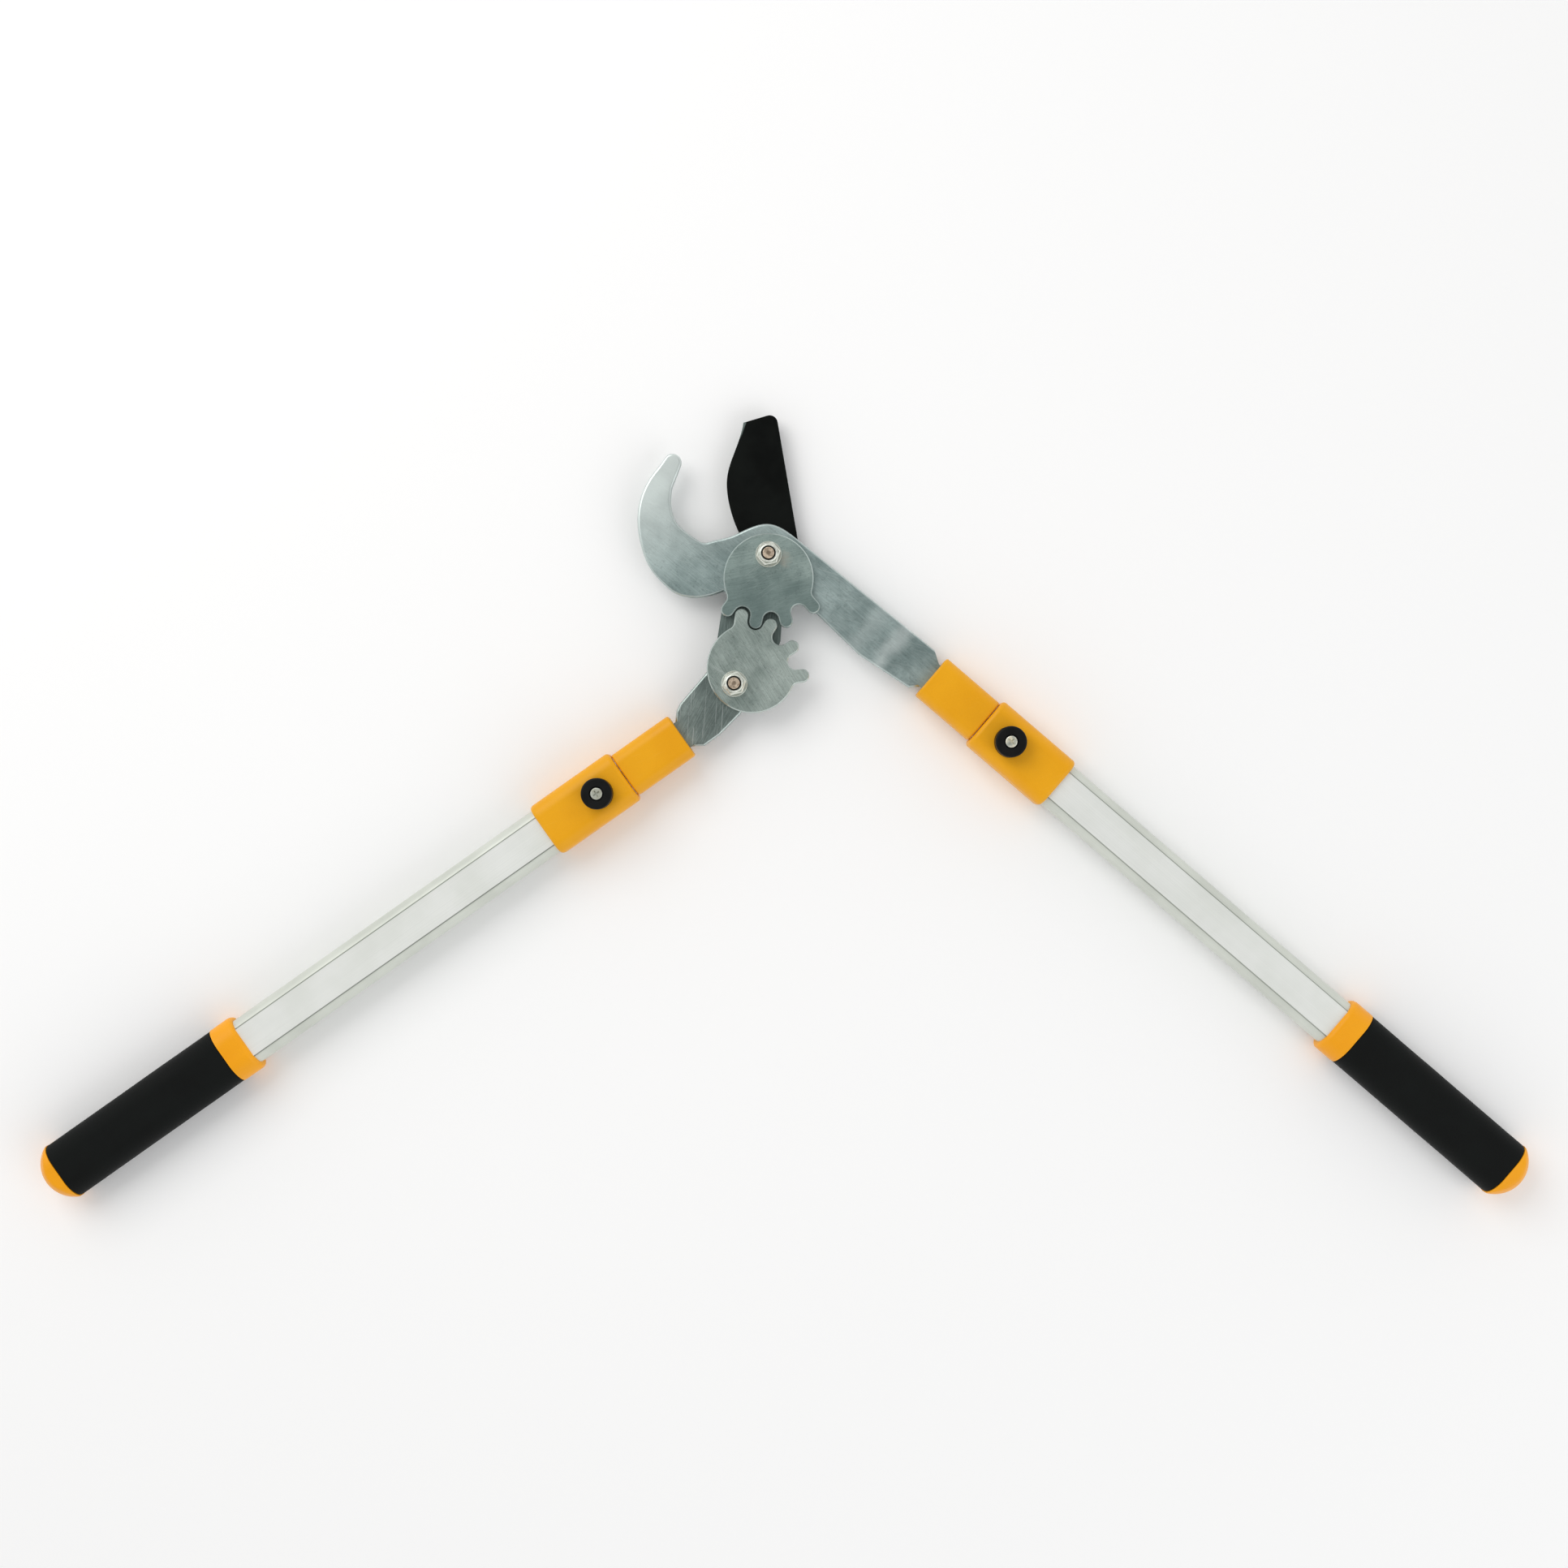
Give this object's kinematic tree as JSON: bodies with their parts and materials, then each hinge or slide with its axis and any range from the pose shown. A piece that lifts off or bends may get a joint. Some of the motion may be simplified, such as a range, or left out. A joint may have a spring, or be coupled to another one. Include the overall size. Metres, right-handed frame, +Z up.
{
  "type": "bypass loppers",
  "caption": "Geared bypass loppers with a hooked anvil, a curved blade, telescopic tube handles with pull-knob locks, and foam grips, lying open.",
  "frame": {"origin": "main pivot's axis on the resting plane, at the outer face of the pivot bolt's head", "axes": "+Y from the pivot towards the jaw, +X towards the side of the hook plate's own arm, +Z up out of the resting plane along both pivots"},
  "size_m": [0.9162, 0.4824, 0.0414],
  "materials": {
    "plate_steel": "drop-forged plate, satin, lightly scratched",
    "gear_steel": "stamped plate, satin, with a bright rolled rim",
    "blade_steel": "black non-stick coat on the cutting part, bare satin steel on the tail and the ground bevel",
    "zinc_fastener": "bright zinc plate",
    "nylon": "moulded nylon",
    "orange_plastic": "satin moulded plastic with a fine grain",
    "tube_aluminium": "satin anodised extrusion",
    "grip_foam": "closed-cell foam, matt",
    "black_plastic": "satin moulded plastic",
    "spring_steel": "plain drawn wire and turned pin"
  },
  "bodies": {
    "hook_arm": {"hook_plate": "plate_steel", "upper_gear": "gear_steel", "upper_gear_dowels": "gear_steel", "pivot_bolt": "zinc_fastener", "pivot_back_washer": "zinc_fastener", "pivot_bush": "gear_steel", "pivot_front_washer": "zinc_fastener", "pivot_nut": "zinc_fastener", "pivot_nut_insert": "nylon", "right_ferrule": "orange_plastic", "right_tang_rivets": "zinc_fastener", "right_inner_tube": "tube_aluminium", "right_guide_bush": "nylon"},
    "blade": {"blade": "blade_steel", "lower_bolt": "zinc_fastener", "lower_bush": "gear_steel", "lower_washer": "zinc_fastener", "lower_nut": "zinc_fastener", "lower_nut_insert": "nylon"},
    "left_arm": {"left_arm": "plate_steel", "lower_gear": "gear_steel", "lower_gear_dowels": "gear_steel", "left_ferrule": "orange_plastic", "left_tang_rivets": "zinc_fastener", "left_inner_tube": "tube_aluminium", "left_guide_bush": "nylon"},
    "right_handle": {"right_outer_tube": "tube_aluminium", "right_sleeve": "orange_plastic", "right_sleeve_screws": "zinc_fastener", "right_lock_spring": "spring_steel", "right_grip_collar": "orange_plastic", "right_grip": "grip_foam", "right_end_cap": "orange_plastic"},
    "left_handle": {"left_outer_tube": "tube_aluminium", "left_sleeve": "orange_plastic", "left_sleeve_screws": "zinc_fastener", "left_lock_spring": "spring_steel", "left_grip_collar": "orange_plastic", "left_grip": "grip_foam", "left_end_cap": "orange_plastic"},
    "right_knob": {"right_knob": "black_plastic", "right_lock_pin": "spring_steel", "right_knob_screw": "zinc_fastener"},
    "left_knob": {"left_knob": "black_plastic", "left_lock_pin": "spring_steel", "left_knob_screw": "zinc_fastener"}
  },
  "joints": [
    {"name": "blade_pivot", "type": "hinge", "parent": "hook_arm", "child": "blade", "pos_m": [0, 0, 0.0146], "axis": [0, 0, 1], "range_deg": [0, 45]},
    {"name": "left_arm_pivot", "type": "hinge", "parent": "blade", "child": "left_arm", "pos_m": [-0.02101, -0.07952, 0.0146], "axis": [0, 0, 1], "range_deg": [0, 45]},
    {"name": "right_extension", "type": "slide", "parent": "hook_arm", "child": "right_handle", "axis": [0.7587, -0.6514, 0], "range_m": [0, 0.25]},
    {"name": "right_lock_pull", "type": "slide", "parent": "right_handle", "child": "right_knob", "axis": [0, 0, 1], "range_m": [0, 0.003], "stiffness_N_per_m": 1500, "springref_m": -0.002, "deforming": ["right_lock_spring"]},
    {"name": "left_extension", "type": "slide", "parent": "left_arm", "child": "left_handle", "axis": [-0.8176, -0.5757, 0], "range_m": [0, 0.25]},
    {"name": "left_lock_pull", "type": "slide", "parent": "left_handle", "child": "left_knob", "axis": [0, 0, 1], "range_m": [0, 0.003], "stiffness_N_per_m": 1500, "springref_m": -0.002, "deforming": ["left_lock_spring"]}
  ],
  "couplings": [
    {"joint": "left_arm_pivot", "follows": "blade_pivot", "ratio": 1}
  ]
}
